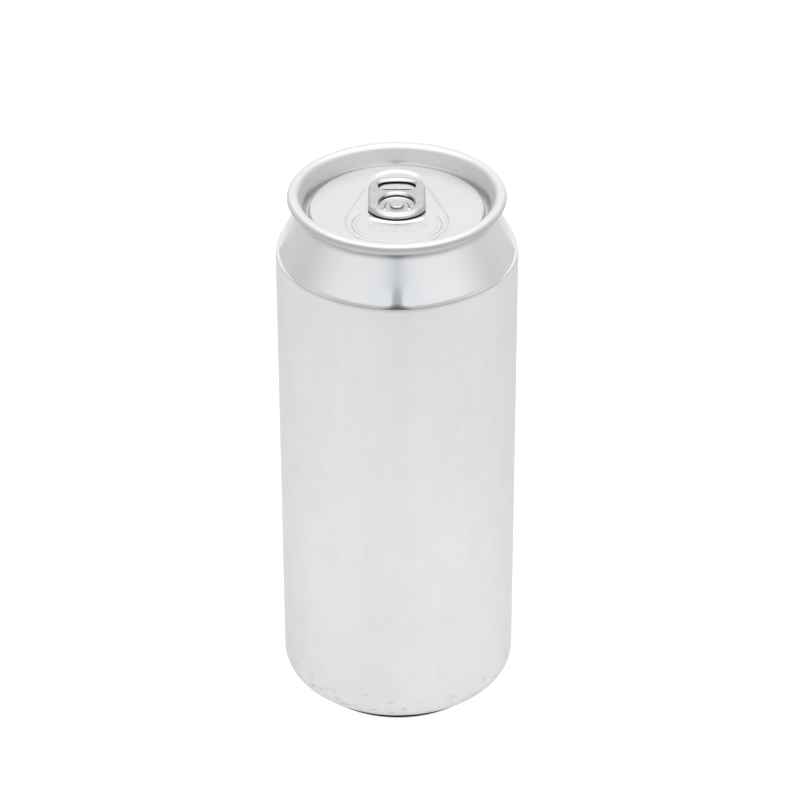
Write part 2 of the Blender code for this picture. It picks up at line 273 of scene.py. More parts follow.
def neck_profile():
    """Body's outside from the flange, down its seat and the neck, to the foot of the shoulder."""
    flange_top = HEIGHT - SHEET - GAP
    seat = (SEAT_RADIUS, HEIGHT - SEAT_CORNER)
    flange = arc(seat, SEAT_CORNER - 2.0 * SHEET - GAP, 90.0, 180.0 - CHUCK_SLOPE, 8)
    points = [(FLANGE_RADIUS, flange_top), (FLANGE_RADIUS, flange_top - SHEET)] + flange
    lean = math.tan(math.radians(CHUCK_SLOPE))
    points.append((PLUG_RADIUS, flange[-1][1] - (flange[-1][0] - PLUG_RADIUS) / lean))
    shoulder = arc((WALL_RADIUS - SHOULDER_RADIUS, SHOULDER_Z), SHOULDER_RADIUS, NECK_SLOPE, 0.0, 16)
    fillet_x = PLUG_RADIUS + NECK_FILLET
    foot = on_circle((fillet_x, 0.0), NECK_FILLET, 180.0 + NECK_SLOPE)
    rise = (shoulder[0][0] - foot[0]) / math.tan(math.radians(NECK_SLOPE))
    points += arc((fillet_x, shoulder[0][1] + rise - foot[1]), NECK_FILLET, 180.0, 180.0 + NECK_SLOPE, 14)
    return points + shoulder


def base_profile():
    """Body's outside from the foot of the wall, round the stand ring, to the top of the dome."""
    nose = arc((RING_OUTER, RING_OUTER_NOSE), RING_OUTER_NOSE, BASE_SLOPE - 90.0, -90.0, 8)
    blend_x = WALL_RADIUS - BASE_BLEND
    blend_end = on_circle((blend_x, 0.0), BASE_BLEND, BASE_SLOPE - 90.0)
    rise = (blend_end[0] - nose[0][0]) * math.tan(math.radians(BASE_SLOPE))
    blend = (blend_x, nose[0][1] + rise - blend_end[1])
    points = arc(blend, BASE_BLEND, 0.0, BASE_SLOPE - 90.0, 18) + nose
    points += arc((RING_INNER, RING_INNER_NOSE), RING_INNER_NOSE, -90.0, -180.0, 8)
    dome_z = DOME_HEIGHT - DOME_RADIUS
    corner_x = DOME_LEG_RADIUS - DOME_CORNER
    reach = DOME_RADIUS - DOME_CORNER
    turn = math.degrees(math.acos(corner_x / reach))
    corner_z = dome_z + reach * math.sin(math.radians(turn))
    points += arc((corner_x, corner_z), DOME_CORNER, 0.0, turn, 6)
    points += arc((0.0, dome_z), DOME_RADIUS, turn, 90.0, 16)[1:-1]
    points.append((0.0, DOME_HEIGHT))
    return points


def drop_distance(x, y):
    """Distance outside the drop-shaped field, negative inside it."""
    front_y, front_radius = DROP_FRONT
    back_y, back_radius = DROP_BACK
    length = back_y - front_y
    lean = (front_radius - back_radius) / length
    side = math.sqrt(1.0 - lean * lean)
    px = abs(x)
    py = y - front_y
    along = -lean * px + side * py
    if along < 0.0:
        return math.hypot(px, py) - front_radius
    if along > side * length:
        return math.hypot(px, py - length) - back_radius
    return side * px + lean * py - front_radius


def thumb_distance(x, y):
    """Distance outside the tear panel's hollow, negative inside it."""
    ends = math.hypot(max(abs(x) - THUMB_END[0], 0.0), y - THUMB_END[1]) - THUMB_END_RADIUS
    back = THUMB_BACK[1] - math.hypot(x, y - THUMB_BACK[0])
    mix = min(max(0.5 + 0.5 * (ends - back) / THUMB_BLEND, 0.0), 1.0)
    return ends * mix + back * (1.0 - mix) + THUMB_BLEND * mix * (1.0 - mix)


def score_distance(x, y):
    """Distance outside the mouth's oval score, negative inside it."""
    u = x / SCORE_SIZE[0]
    v = (y - SCORE_Y) / SCORE_SIZE[1]
    reach = math.hypot(u, v)
    slope = math.hypot(u / SCORE_SIZE[0], v / SCORE_SIZE[1]) / max(reach, 1e-6)
    return (reach - 1.0) / max(slope, 1e-6)


def score_strength(x, y):
    """1 along the scored sides and front, 0 at the hinge side behind the mouth."""
    turn = math.degrees(math.atan2((y - SCORE_Y) / SCORE_SIZE[1], x / SCORE_SIZE[0]))
    middle = 0.5 * (SCORE_OPEN[0] + SCORE_OPEN[1])
    half = 0.5 * (SCORE_OPEN[1] - SCORE_OPEN[0])
    away = abs((turn - middle + 180.0) % 360.0 - 180.0)
    return smooth(away, half - SCORE_FADE, half + SCORE_FADE)


def groove(distance, width):
    """Round-bottomed groove, 1 at its middle."""
    return math.exp(-((distance / width) ** 2))


def panel_height(x, y):
    """Height of the pressed panel above its rim plane."""
    drop = drop_distance(x, y)
    height = -DROP_DEPTH * (1.0 - smooth(drop, -DROP_FLANK, 0.0))
    thumb = thumb_distance(x, y)
    back = smooth(y, THUMB_END[1] - THUMB_END_RADIUS, THUMB_BACK[0] - THUMB_BACK[1])
    height -= THUMB_DEPTH * mixed(THUMB_FRONT_SHARE, 1.0, back) * (1.0 - smooth(thumb, *THUMB_FLANK))
    score = score_distance(x, y)
    strength = score_strength(x, y)
    height -= SCORE_DEPTH * strength * groove(score, SCORE_WIDTH)
    height -= RELIEF_DEPTH * strength * groove(score + RELIEF_INSET, RELIEF_WIDTH)
    return height


def pressed_line_shade(x, y):
    """Painted shade along the pressed lines, from 0 to 1: in the score and its relief groove, and down
    the drop's flank.
    """
    strength = score_strength(x, y)
    score = score_distance(x, y)
    relief = groove(score + RELIEF_INSET, RELIEF_WIDTH)
    lines = strength * (groove(score, SCORE_LINE_WIDTH) + 0.35 * relief)
    flank = smooth(abs(x), *DROP_LINE_SIDES) * (1.0 - smooth(y, *DROP_LINE_END))
    flank *= groove(drop_distance(x, y) + DROP_LINE_INSET, DROP_LINE_WIDTH)
    return min(lines + 0.3 * flank, 1.0)


def reach_to(distance, direction):
    """How far out from the forms' centre a distance function crosses zero."""
    near = 0.0
    far = 2.0 * PANEL_RADIUS
    for _ in range(40):
        middle = 0.5 * (near + far)
        if distance(middle * direction[0], FORMS_Y + middle * direction[1]) < 0.0:
            near = middle
        else:
            far = middle
    return near


def panel_rows():
    """Rings of the panel, as (inner form, outer form, share between them, offset)."""
    forms = ["centre", "thumb", "relief", "score", "drop", "rim"]

    # Close rings across each form's edge, in millimetres from it: first, last and step
    fine = {
        "thumb": (-1.5, 0.3, 0.12),
        "relief": (-0.32, 0.32, 0.08),
        "score": (-0.28, 0.28, 0.07),
        "drop": (-1.7, 0.3, 0.125),
    }

    # Wider rings in the stretch that leads to each form
    between = {"thumb": 6, "relief": 5, "score": 2, "drop": 6, "rim": 16}
    rows = [("centre", "centre", 0.0, 0.0)]
    for inner, outer in zip(forms, forms[1:]):
        count = between[outer]
        start = fine[inner][1] * MM if inner in fine else 0.0
        end = fine[outer][0] * MM if outer in fine else 0.0
        for i in range(1, count + 1):
            share = i / (count + 1)
            rows.append((inner, outer, share, mixed(start, end, share)))
        if outer in fine:
            low, high, step = fine[outer]
            for i in range(round((high - low) / step) + 1):
                rows.append((outer, outer, 0.0, (low + i * step) * MM))
    rows.append(("rim", "rim", 0.0, 0.0))
    return rows


# ---------------------------------------------------------------------------
# Mesh making
# ---------------------------------------------------------------------------
def spun(shape, profile, steps):
    """Adds a profile of (radius, z) points turned once about Z, poles closed."""
    points = [shape.verts.new((radius, 0.0, z)) for radius, z in profile]
    edges = [shape.edges.new(pair) for pair in zip(points, points[1:])]
    bmesh.ops.spin(
        shape, geom=points + edges, cent=(0.0, 0.0, 0.0), axis=(0.0, 0.0, 1.0),
        dvec=(0.0, 0.0, 0.0), angle=math.tau, steps=steps, use_merge=True,
    )
    bmesh.ops.remove_doubles(shape, verts=shape.verts, dist=MERGE)


def ring_of(shape, outline, heights, depths):
    """Adds a closed ring of edges; depths say how far each point is tucked out of the light."""
    layer = shape.verts.layers.float.get(TUCKED) or shape.verts.layers.float.new(TUCKED)
    points = []
    for (x, y), height, depth in zip(outline, heights, depths):
        point = shape.verts.new((x, y, height))
        point[layer] = depth
        points.append(point)
    return [shape.edges.new((a, b)) for a, b in zip(points, points[1:] + points[:1])]


def lofted(shape, rings):
    """Joins each ring of edges to the next with a band of faces."""
    for inner, outer in zip(rings, rings[1:]):
        bmesh.ops.bridge_loops(shape, edges=inner + outer)


def finish_piece(name, shape, material, sharp=None):
    """Makes the shape an object; edges turned by more than sharp degrees stay sharp."""
    bmesh.ops.recalc_face_normals(shape, faces=shape.faces)
    mesh = bpy.data.meshes.new(name)
    shape.to_mesh(mesh)
    shape.free()
    mesh.materials.append(material)
    mesh.shade_smooth()
    if sharp:
        mesh.set_sharp_from_angle(angle=math.radians(sharp))
    piece = bpy.data.objects.new(name, mesh)
    bpy.context.scene.collection.objects.link(piece)
    return piece


def thicken(piece, thickness):
    """Gives a sheet its thickness on the side that its faces point away from."""
    wall = piece.modifiers.new("sheet", "SOLIDIFY")
    wall.thickness = thickness
    wall.offset = -1.0
    wall.use_even_offset = True


# ---------------------------------------------------------------------------
# Shader maths
# ---------------------------------------------------------------------------
class Value:
    """A shader socket that takes part in Python sums."""

    def __init__(self, tree, socket):
        self.tree = tree
        self.socket = socket

    def node(self, kind, settings=None, values=None, output=0):
        """Adds any node, sets it up, fills or links its sockets, and wraps one output."""
        made = self.tree.nodes.new(kind)
        for key, setting in (settings or {}).items():
            if key == "stops":
                ramp = made.color_ramp
                while len(ramp.elements) < len(setting):
                    ramp.elements.new(0.5)
                for element, (place, colour) in zip(ramp.elements, setting):
                    element.position = place
                    element.color = colour
            else:
                setattr(made, key, setting)
        for key, value in (values or {}).items():
            socket = made.inputs[key]
            if isinstance(value, Value):
                self.tree.links.new(value.socket, socket)
            else:
                socket.default_value = value
        return Value(self.tree, made.outputs[output])

    def math_node(self, operation, *values):
        return self.node("ShaderNodeMath", {"operation": operation}, dict(enumerate(values)))

    def __add__(self, other):
        return self.math_node("ADD", self, other)

    def __radd__(self, other):
        return self.math_node("ADD", other, self)

    def __sub__(self, other):
        return self.math_node("SUBTRACT", self, other)

    def __rsub__(self, other):
        return self.math_node("SUBTRACT", other, self)

    def __mul__(self, other):
        return self.math_node("MULTIPLY", self, other)

    def __rmul__(self, other):
        return self.math_node("MULTIPLY", other, self)

    def __truediv__(self, other):
        return self.math_node("DIVIDE", self, other)

    def __rtruediv__(self, other):
        return self.math_node("DIVIDE", other, self)

    def __abs__(self):
        return self.math_node("ABSOLUTE", self)

    def ramp(self, low, high, start=0.0, end=1.0):
        """start below low, end above high, smooth between them."""
        values = {"Value": self, "From Min": low, "From Max": high, "To Min": start, "To Max": end}
        return self.node("ShaderNodeMapRange", {"interpolation_type": "SMOOTHSTEP"}, values)

    def noise(self, stretch, scale, detail=2.0, roughness=0.5):
        """Noise from -0.5 to 0.5 on a position, stretched by (x, y, z)."""
        moved = self.node("ShaderNodeMapping", {}, {"Vector": self, "Scale": stretch})
        values = {"Vector": moved, "Scale": scale, "Detail": detail, "Roughness": roughness}
        return self.node("ShaderNodeTexNoise", {"normalize": True}, values) - 0.5

    def part(self, axis):
        return self.node("ShaderNodeSeparateXYZ", {}, {"Vector": self}, "XYZ".index(axis))

    def from_axis(self):
        """Distance of a position from the Z axis."""
        across = self.part("X")
        along = self.part("Y")
        return self.math_node("SQRT", across * across + along * along)

    def carried(self, name):
        """Value that the mesh's points carry under a name."""
        return self.node("ShaderNodeAttribute", {"attribute_name": name}, {}, 2)


def texture_place(tree, kind):
    """Place of the shaded point, or its direction where the sky is shaded."""
    return Value(tree, tree.nodes.new("ShaderNodeTexCoord").outputs[kind])


def grey(level):
    return (level, level, level)


def new_metal(name, colour, roughness):
    """A metallic material, its shader and its object position."""
    material = bpy.data.materials.new(name)
    material.use_nodes = True
    tree = material.node_tree
    shader = tree.nodes["Principled BSDF"]
    shader.inputs["Metallic"].default_value = 1.0
    shader.inputs["Base Color"].default_value = (*colour, 1.0)
    shader.inputs["Roughness"].default_value = roughness
    return material, shader, texture_place(tree, "Object")


def feed(shader, socket, value):
    value.tree.links.new(value.socket, shader.inputs[socket])


def tinted(value, dark, light):
    """Colour between dark and light by a value from 0 to 1."""
    stops = [(0.0, (*dark, 1.0)), (1.0, (*light, 1.0))]
    return value.node("ShaderNodeValToRGB", {"stops": stops}, {"Fac": value})


def bumped(value, depth):
    """Normal from a height in the surface, depth in metres for a height of 1."""
    return value.node("ShaderNodeBump", {}, {"Height": value, "Strength": 1.0, "Distance": depth})


# ---------------------------------------------------------------------------
# Finishes
# ---------------------------------------------------------------------------
def body_metal():
    """Brushed wall with a scuffed foot, and a smoother, brighter neck above the crease; painted shade
    above the stand ring, under the curl and along the crease, and painted light lower on the wall.
    """
    material, shader, place = new_metal("drawn_aluminium", grey(0.77), 0.4)
    height = place.part("Z")
    polished = height.ramp(CREASE_Z - CREASE_BLEND, CREASE_Z + CREASE_BLEND)
    wall = 1.0 - polished

    # Streaks run up the wall, mottle and cloud are broader, and hair lines run round the neck
    streaks = place.noise((1.0, 1.0, 0.02), 2600.0, 3.0, 0.6)
    mottle = place.noise((1.0, 1.0, 0.7), 170.0, 4.0, 0.6)
    cloud = place.noise((1.0, 1.0, 0.35), 45.0, 2.0, 0.5)
    hair = place.noise((1.0, 1.0, 9.0), 900.0, 2.0, 0.5)
    flecks = place.noise((1.0, 1.0, 2.4), 300.0, 5.0, 0.7).ramp(0.02, 0.2)
    scuffs = flecks * height.ramp(*SCUFFED_BELOW, 1.0, 0.0) * wall

    # Painted shade above the stand ring, under the curl and along the crease
    under = height.ramp(*FOOT_SHADE_FROM) * height.ramp(*FOOT_SHADE_TO, 1.0, 0.0)
    under_curl_shade = height.ramp(*NECK_SHADE)
    crease = 1.0 - abs(height - CREASE_Z).ramp(CREASE_BLEND, CREASE_SHADE)

    grain = mottle * 0.14 + cloud * 0.14 + streaks * 0.055
    # Painted light: the wall's tone is lighter towards the bottom, where more light comes up from the
    # floor
    tone = 0.745 + wall * (grain + height.ramp(*WALL_PAINTED_LIGHT, 0.07, 0.03)) + polished * 0.24
    tone = tone - under_curl_shade * 0.47 - scuffs * 0.24 - under * 0.6 - crease * 0.3
    feed(shader, "Base Color", tinted(tone, grey(0.15), (0.80, 0.80, 0.802)))
    shader.inputs["Specular Tint"].default_value = (*grey(0.8), 1.0)
    dull = height.ramp(*NECK_DULLS, 0.0, 0.2)
    feed(shader, "Roughness", 0.07 + dull + wall * (0.33 + mottle * 0.10 + streaks * 0.06) + scuffs * 0.1)
    relief = wall * (streaks * 0.5 + mottle * 0.35) + polished * hair * 0.05 - scuffs * 0.6
    feed(shader, "Normal", bumped(relief, 0.006 * MM))
    return material


def lid_metal():
    """Rolled sheet: softer on the chuck wall, with painted shade along the pressed lines and down the
    curl.
    """
    material, shader, place = new_metal("lid_sheet", grey(0.8), 0.2)
    height = place.part("Z")
    rolling = place.noise((0.03, 1.0, 1.0), 3200.0, 3.0, 0.6)
    cloud = place.noise((1.0, 1.0, 1.0), 120.0, 3.0, 0.5)
    # Painted shade along the pressed lines, carried by the panel's points
    lines = place.carried(PAINTED_LINE_SHADE)
    wall = height.ramp(*CHUCK_BRIGHT) * height.ramp(*CHUCK_FADE, 1.0, 0.4)
    # Painted shade down the curl's outer flank, under its crest
    curl = place.from_axis().ramp(*CURL_SHADE_RADIUS) * height.ramp(*CURL_SHADE_Z, 1.0, 0.0)
    tone = 0.77 + wall * 0.08 + cloud * 0.115 + rolling * 0.035 - lines * 0.75 - curl * 0.5
    feed(shader, "Base Color", tinted(tone, grey(0.45), (0.80, 0.80, 0.798)))
    feed(shader, "Roughness", 0.26 + wall * 0.28 + curl * 0.25 + cloud * 0.08 + rolling * 0.04)
    feed(shader, "Normal", bumped(rolling * 0.2 + cloud * 0.6, 0.003 * MM))
    return material


def rivet_metal():
    """Coined metal of the rivet and of the rise under the finger slot."""
    material, shader, place = new_metal("coined_rivet", grey(0.68), 0.25)
    cloud = place.noise((1.0, 1.0, 1.0), 700.0, 3.0, 0.6)
    feed(shader, "Base Color", tinted(0.5 + cloud * 0.4, grey(0.46), grey(0.70)))
    feed(shader, "Normal", bumped(cloud, 0.004 * MM))
    return material


def tab_metal():
    """Rolled sheet of the tab, dark where it is tucked out of the light."""
    material, shader, place = new_metal("tab_sheet", (0.58, 0.58, 0.575), 0.2)
    rolling = place.noise((1.0, 0.03, 1.0), 3600.0, 3.0, 0.6)
    cloud = place.noise((1.0, 1.0, 1.0), 260.0, 3.0, 0.5)
    tucked = place.carried(TUCKED)
    tone = 0.75 + cloud * 0.15 + rolling * 0.08 - tucked
    feed(shader, "Base Color", tinted(tone, grey(0.02), (0.73, 0.73, 0.725)))
    feed(shader, "Roughness", 0.2 + cloud * 0.08 + rolling * 0.05 + tucked * 0.3)
    feed(shader, "Normal", bumped(rolling * 0.4 + cloud * 0.6, 0.003 * MM))
    return material


# ---------------------------------------------------------------------------
# Pieces
# ---------------------------------------------------------------------------
def make_body(material):
    """Body spun from one section, closed flat under the lid."""
    core_z = PANEL_Z - DROP_DEPTH - THUMB_DEPTH - SHEET - GAP
    top = list(reversed(lid_under_arcs(SHEET + GAP)))
    profile = [(0.0, core_z), (top[0][0], core_z)] + top + neck_profile() + base_profile()
    shape = bmesh.new()
    spun(shape, profile, BODY_STEPS)
    body = finish_piece("drawn_can", shape, material, 60.0)
    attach(body, "root")
    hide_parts("can_body")


def form_reaches(turn):
    """Direction from the forms' centre to the rim at a turn, and each form's reach along it."""
    rim = Vector((PANEL_RADIUS * math.cos(turn), PANEL_RADIUS * math.sin(turn) - FORMS_Y))
    way = rim.normalized()
    reach = {
        "centre": 0.0,
        "thumb": reach_to(thumb_distance, way),
        "relief": reach_to(lambda x, y: score_distance(x, y) + RELIEF_INSET, way),
        "score": reach_to(score_distance, way),
        "drop": reach_to(drop_distance, way),
        "rim": rim.length,
    }
    return way, reach


def place_panel(shape, rows):
    """Moves the flat panel's rings onto the pressed forms and presses them."""
    layer = shape.verts.layers.float.new(PAINTED_LINE_SHADE)
    known = {}
    for vert in shape.verts:
        radius = math.hypot(vert.co.x, vert.co.y)
        if radius > PANEL_RADIUS * (1.0 + 1e-5) or vert.co.z < PANEL_Z - MERGE:
            continue
        turn = math.atan2(vert.co.y, vert.co.x)
        key = round(math.degrees(turn), 4)
        if key not in known:
            known[key] = form_reaches(turn)
        way, reach = known[key]
        inner, outer, share, offset = rows[round(radius / PANEL_RADIUS * (len(rows) - 1))]
        out = mixed(reach[inner], reach[outer], share) + offset
        x = out * way.x
        y = FORMS_Y + out * way.y
        vert.co = (x, y, PANEL_Z + panel_height(x, y))
        # Painted shade along the pressed lines
        vert[layer] = pressed_line_shade(x, y)


def make_lid(material):
    """Lid spun from its upper face's section, pressed, and thickened downwards."""
    rows = panel_rows()
    count = len(rows) - 1
    profile = [(PANEL_RADIUS * i / count, PANEL_Z) for i in range(count)]
    profile += arc((PANEL_RADIUS, PANEL_Z - PANEL_CORNER), PANEL_CORNER, 90.0, 0.0, 6)
    profile += reversed(lid_under_arcs(0.0))
    curl = (CURL_OUTER - CURL_RADIUS, HEIGHT - CURL_RADIUS)
    profile += arc(curl, CURL_RADIUS, 90.0, CURL_END, 22)
    shape = bmesh.new()
    spun(shape, profile, LID_STEPS)
    place_panel(shape, rows)
    lid = finish_piece("lid_sheet", shape, material)
    thicken(lid, SHEET)
    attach(lid, "root")
    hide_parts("lid")


def make_rivet(material):
    """Rivet spun from one section: a dished head on a stem."""
    plane = PANEL_Z - DROP_DEPTH
    flat = RIVET_HEAD - RIVET_EDGE
    profile = [(0.0, RIVET_TOP_Z - RIVET_DISH), (0.6 * flat, RIVET_TOP_Z - 0.75 * RIVET_DISH)]
    profile += arc((flat, RIVET_TOP_Z - RIVET_EDGE), RIVET_EDGE, 90.0, -20.0, 12)
    profile += [(RIVET_STEM, RIVET_TOP_Z - RIVET_UNDERCUT), (RIVET_STEM, plane + RIVET_FILLET)]
    profile += [(RIVET_STEM + RIVET_FILLET, plane - 0.5 * SHEET), (0.0, plane - 0.5 * SHEET)]
    shape = bmesh.new()
    spun(shape, profile, RIVET_STEPS)
    rivet = finish_piece("lid_rivet", shape, material, 50.0)
    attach(rivet, "root")


def make_pad(material):
    """Rise of the panel under the finger slot, sloping up towards the heel."""
    shape = bmesh.new()
    bmesh.ops.create_grid(shape, x_segments=28, y_segments=24, size=1.0)
    plane = PANEL_Z - DROP_DEPTH
    for vert in shape.verts:
        # Shares of the rise: soft at the sides, eased in at the front and closed at the heel
        side = vert.co.x
        along = 0.5 * (vert.co.y + 1.0)
        edge = smooth(1.0 - abs(side), 0.0, 0.22)
        rise = along * mixed(0.75, 1.0, smooth(along, 0.0, 0.25))
        fade = 1.0 - smooth(along, 0.93, 1.0)
        vert.co.x = side * PAD_HALF_WIDTH
        vert.co.y = mixed(PAD_FRONT, PAD_BACK, along)
        vert.co.z = plane - PAD_SINK + PAD_RISE * rise * edge * fade
    pad = finish_piece("lid_finger_pad", shape, material)
    thicken(pad, PAD_SHEET)
    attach(pad, "root")


def tab_outline(inset):
    """Tab's edge: a shallow round nose between two corners, and large corners at the heel."""
    half = TAB_HALF_WIDTH - inset
    nose = (0.0, TAB_NOSE_Y + TAB_NOSE_RADIUS)
    nose_radius = TAB_NOSE_RADIUS - inset
    corner = max(TAB_NOSE_CORNER - inset, TAB_HEM)
    turn = math.degrees(math.acos((half - corner) / (nose_radius - corner)))
    corner_y = nose[1] - (nose_radius - corner) * math.sin(math.radians(turn))
    heel = (TAB_HALF_WIDTH - TAB_HEEL_CORNER, TAB_HEEL_Y - TAB_HEEL_CORNER)
    points = arc((half - corner, corner_y), corner, 0.0, -turn, 8)[:-1]
    points += arc(nose, nose_radius, -turn, turn - 180.0, 40)
    points += arc((corner - half, corner_y), corner, turn - 180.0, -180.0, 8)[1:]
    points += arc((-heel[0], heel[1]), TAB_HEEL_CORNER - inset, 180.0, 90.0, 24)
    points += arc(heel, TAB_HEEL_CORNER - inset, 90.0, 0.0, 24)
    return points


def finger_outline(grow):
    """Finger slot: slightly bowed at the back and straight in front, with large corners."""
    centre_y = FINGER_Y + FINGER_BACK - FINGER_BACK_CORNER
    side = FINGER_HALF_WIDTH - FINGER_BACK_CORNER
    lean = math.degrees(math.asin(side / (FINGER_BOW - FINGER_BACK_CORNER)))
    bow_y = centre_y - math.sqrt((FINGER_BOW - FINGER_BACK_CORNER) ** 2 - side ** 2)
    points = arc((side, centre_y), FINGER_BACK_CORNER + grow, 0.0, 90.0 - lean, 14)[:-1]
    points += arc((0.0, bow_y), FINGER_BOW + grow, 90.0 - lean, 90.0 + lean, 16)
    points += arc((-side, centre_y), FINGER_BACK_CORNER + grow, 90.0 + lean, 180.0, 14)[1:]
    side = FINGER_HALF_WIDTH - FINGER_CORNER
    front_y = centre_y - FINGER_STRAIGHT
    points += arc((-side, front_y), FINGER_CORNER + grow, 180.0, 270.0, 14)
    points += arc((side, front_y), FINGER_CORNER + grow, 270.0, 360.0, 14)
    return points


def void_outline(grow):
    """Opening round the rivet: a circle that runs along the nose roll in front."""
    turn = VOID_FRONT_TURN
    nose_y = TAB_NOSE_Y + TAB_NOSE_RADIUS
    radius = TAB_NOSE_RADIUS - VOID_FRONT_INSET
    points = arc((0.0, VOID_Y), VOID_RADIUS + grow, -turn, 180.0 + turn, 64)
    edge = on_circle((0.0, VOID_Y), VOID_RADIUS, -turn)
    side = math.degrees(math.atan2(edge[1] - nose_y, edge[0])) - 3.0
    points += arc((0.0, nose_y), radius + grow, -180.0 - side, side, 24)
    return points


def rolled_edge(shape, outline, section):
    """Rings that carry a flat web over a rounded edge.

    section gives, at a y of the outline, each ring's distance from it into the web, fall and tuck.
    """
    rings = []
    for row in zip(*(section(y) for _, y in outline(0.0))):
        loop = [outline(out)[i] for i, (out, _, _) in enumerate(row)]
        heights = [TAB_TOP_Z - fall for _, fall, _ in row]
        rings.append(ring_of(shape, loop, heights, [tuck for _, _, tuck in row]))
    return rings


def quarter(across, down, steps):
    """Quarter of an oval from the web to a wall, as (distance from the wall, fall, tuck)."""
    turns = [math.radians(90.0 * i / steps) for i in range(steps + 1)]
    return [(across * (1.0 - math.sin(t)), down * (1.0 - math.cos(t)), 0.0) for t in turns]


def rim_section(y):
    """Tab's outer edge: an oval roll that is wide at the nose, and a hem turned under it."""
    nose = smooth(-y, *TAB_NOSE_BLEND)
    across = mixed(TAB_ROLL, TAB_NOSE_ROLL, nose)
    rows = [(across * 1.05, 0.0, 0.0)]
    for (out, fall, _), (nose_out, nose_fall) in zip(quarter(TAB_ROLL, TAB_DROP, 12), NOSE_ROLL):
        rows.append((mixed(out, nose_out * MM, nose), mixed(fall, nose_fall * MM, nose), 0.0))
    rows.append((0.0, TAB_DEPTH - 2.0 * TAB_HEM, 0.15 * smooth(-y, *TAB_NOSE_TUCK)))
    rows.append((0.0, TAB_DEPTH - TAB_HEM, 1.0))
    for degrees in (30.0, 60.0, 90.0):
        turn = math.radians(degrees)
        fall = TAB_DEPTH - TAB_HEM * (1.0 - math.sin(turn))
        rows.append((TAB_HEM * (1.0 - math.cos(turn)), fall, 1.0))
    return rows + [(0.9 * across, TAB_DEPTH, 1.0)]


def finger_section(y):
    """Finger slot's edge: a long sloping lip at the back, a small radius elsewhere."""
    back = smooth(y, *FINGER_LIP_BLEND)
    plain = [(FINGER_EDGE_START, 0.0, 0.0)] + quarter(FINGER_EDGE, FINGER_EDGE, 7)
    plain += [(0.0, fall, 0.0) for fall in FINGER_WALL]
    shade = smooth(y, *FINGER_SHADE)
    rows = []
    for (lip_out, lip_fall), (plain_out, plain_fall, _) in zip(FINGER_LIP, plain):
        out = mixed(plain_out, lip_out * MM, back)
        fall = mixed(plain_fall, lip_fall * MM, back)
        rows.append((out, fall, shade * smooth(lip_fall * MM, *LIP_SHADE)))
    return rows


def void_section(y):
    """Void's edge: a wide bead behind the rivet that narrows towards the sides."""
    across = mixed(*VOID_BEAD_WIDTH, smooth(y, *VOID_BEAD_WIDENS))
    down = mixed(*VOID_BEAD_FALL, smooth(y, *VOID_BEAD_DEEPENS))
    dark = smooth(y, *VOID_SHADE)
    roll = quarter(across, down, 12)
    rows = [(across * 1.08, 0.0, 0.0)] + roll[:-2]

    # The shade starts at a sharp edge low on the bead
    out, fall, _ = rows[-1]
    rows.append((out - 0.01 * MM, fall + 0.02 * MM, dark))
    rows += [(out, fall, dark) for out, fall, _ in roll[-2:]]
    rows += [(-inwards * MM, down + fall * MM, dark) for inwards, fall in VOID_WALL_ROWS]
    rows.append((-0.06 * MM, mixed(down, VOID_LEDGE, 0.6), dark))
    rows.append((-0.13 * MM, VOID_LEDGE - 0.08 * MM, 0.1 * dark))
    return rows + [(-inwards * MM, VOID_LEDGE + fall * MM, 0.0) for inwards, fall in VOID_LEDGE_ROWS]


def make_tab(material):
    """Tab: a flat web between three rolled edges."""
    shape = bmesh.new()
    rim = rolled_edge(shape, tab_outline, rim_section)
    lofted(shape, rim)
    finger = rolled_edge(shape, finger_outline, finger_section)
    lofted(shape, finger)
    void = rolled_edge(shape, void_outline, void_section)
    lofted(shape, void)
    web = rim[0] + finger[0] + void[0]
    bmesh.ops.triangle_fill(shape, use_beauty=True, use_dissolve=False, edges=web)
    tab = finish_piece("pull_tab_sheet", shape, material)
    thicken(tab, TAB_SHEET)
    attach(tab, "root")
    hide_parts("pull_tab")


def island_edge(turn):
    """Reach of the tongue round the rivet: round behind it, joined to the nose in front."""
    nose_y = TAB_NOSE_Y + TAB_NOSE_RADIUS
    reach = TAB_NOSE_RADIUS - ISLAND_NOSE_INSET
    side = nose_y * math.sin(turn)
    nose = side + math.sqrt(max(side * side + reach * reach - nose_y * nose_y, 0.0))
    front = smooth(-math.sin(turn), *ISLAND_FRONT_SINES)
    return mixed(ISLAND_RADIUS, min(nose, ISLAND_REACH), front)


def island_height(radius, turn):
    """Relief of the tongue: a coined ring, a lip turned down behind and two raised corners."""
    height = -COIN_DEPTH * groove(radius - COIN_RADIUS, COIN_WIDTH)
    lip = smooth(radius, ISLAND_RADIUS - ISLAND_LIP_WIDTH, ISLAND_RADIUS)
    height -= ISLAND_LIP_FALL * lip * smooth(math.sin(turn), -0.2, 0.0)
    for x, y in ISLAND_CORNERS:
        gap = math.hypot(radius * math.cos(turn) - x, radius * math.sin(turn) - y)
        height += ISLAND_CORNER_RISE * groove(gap, ISLAND_CORNER_WIDTH)
    return height


def make_island(material):
    """Flat tongue under the rivet's head, spun as a ring and drawn out to its edge."""
    shape = bmesh.new()
    width = ISLAND_RADIUS - ISLAND_HOLE
    profile = [(ISLAND_HOLE + width * i / ISLAND_RINGS, ISLAND_Z) for i in range(ISLAND_RINGS + 1)]
    spun(shape, profile, ISLAND_STEPS)
    for vert in shape.verts:
        turn = math.atan2(vert.co.y, vert.co.x)
        share = (math.hypot(vert.co.x, vert.co.y) - ISLAND_HOLE) / width
        radius = mixed(ISLAND_HOLE, island_edge(turn), share)
        vert.co.x = radius * math.cos(turn)
        vert.co.y = radius * math.sin(turn)
        vert.co.z = ISLAND_Z + island_height(radius, turn)
    island = finish_piece("tab_island", shape, material)
    thicken(island, TAB_SHEET)
    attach(island, "root")


